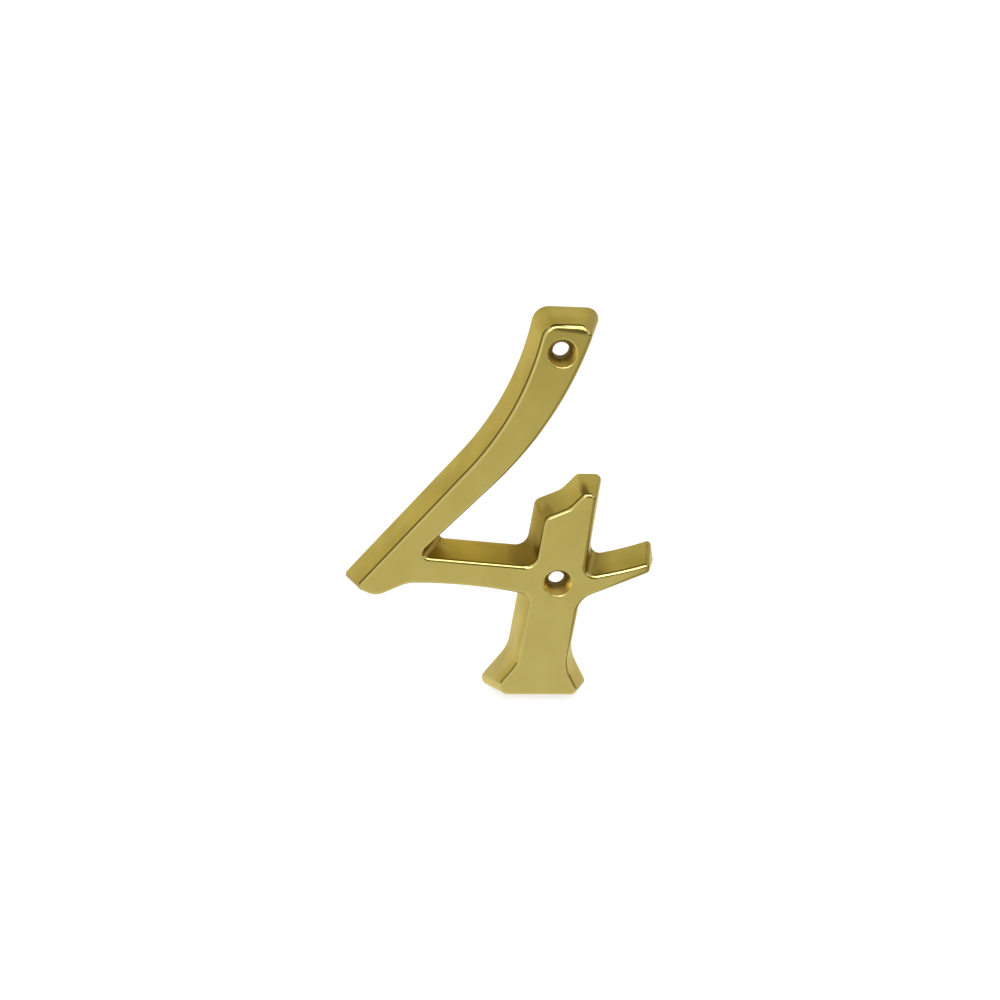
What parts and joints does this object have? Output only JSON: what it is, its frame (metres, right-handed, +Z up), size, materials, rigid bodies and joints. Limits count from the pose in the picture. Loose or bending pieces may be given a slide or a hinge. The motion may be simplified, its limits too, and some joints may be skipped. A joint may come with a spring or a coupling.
{
  "type": "house number",
  "caption": "Cast brass house numeral in the shape of a 4, with a satin face, drafted polished sides, a hollow back and countersunk screw holes for fixing to a door or wall.",
  "frame": {"origin": "on the wall or door that the rim rests on, level with the bottom of the foot and straight below the lower screw hole", "axes": "+Z up the numeral, +X to its right as it is read, -Y out of the wall towards the reader"},
  "size_m": [0.0777, 0.0095, 0.1015],
  "materials": {
    "brass": "satin face with polished sides and edges"
  },
  "bodies": {
    "root": {"numeral_four": "brass"}
  },
  "joints": []
}
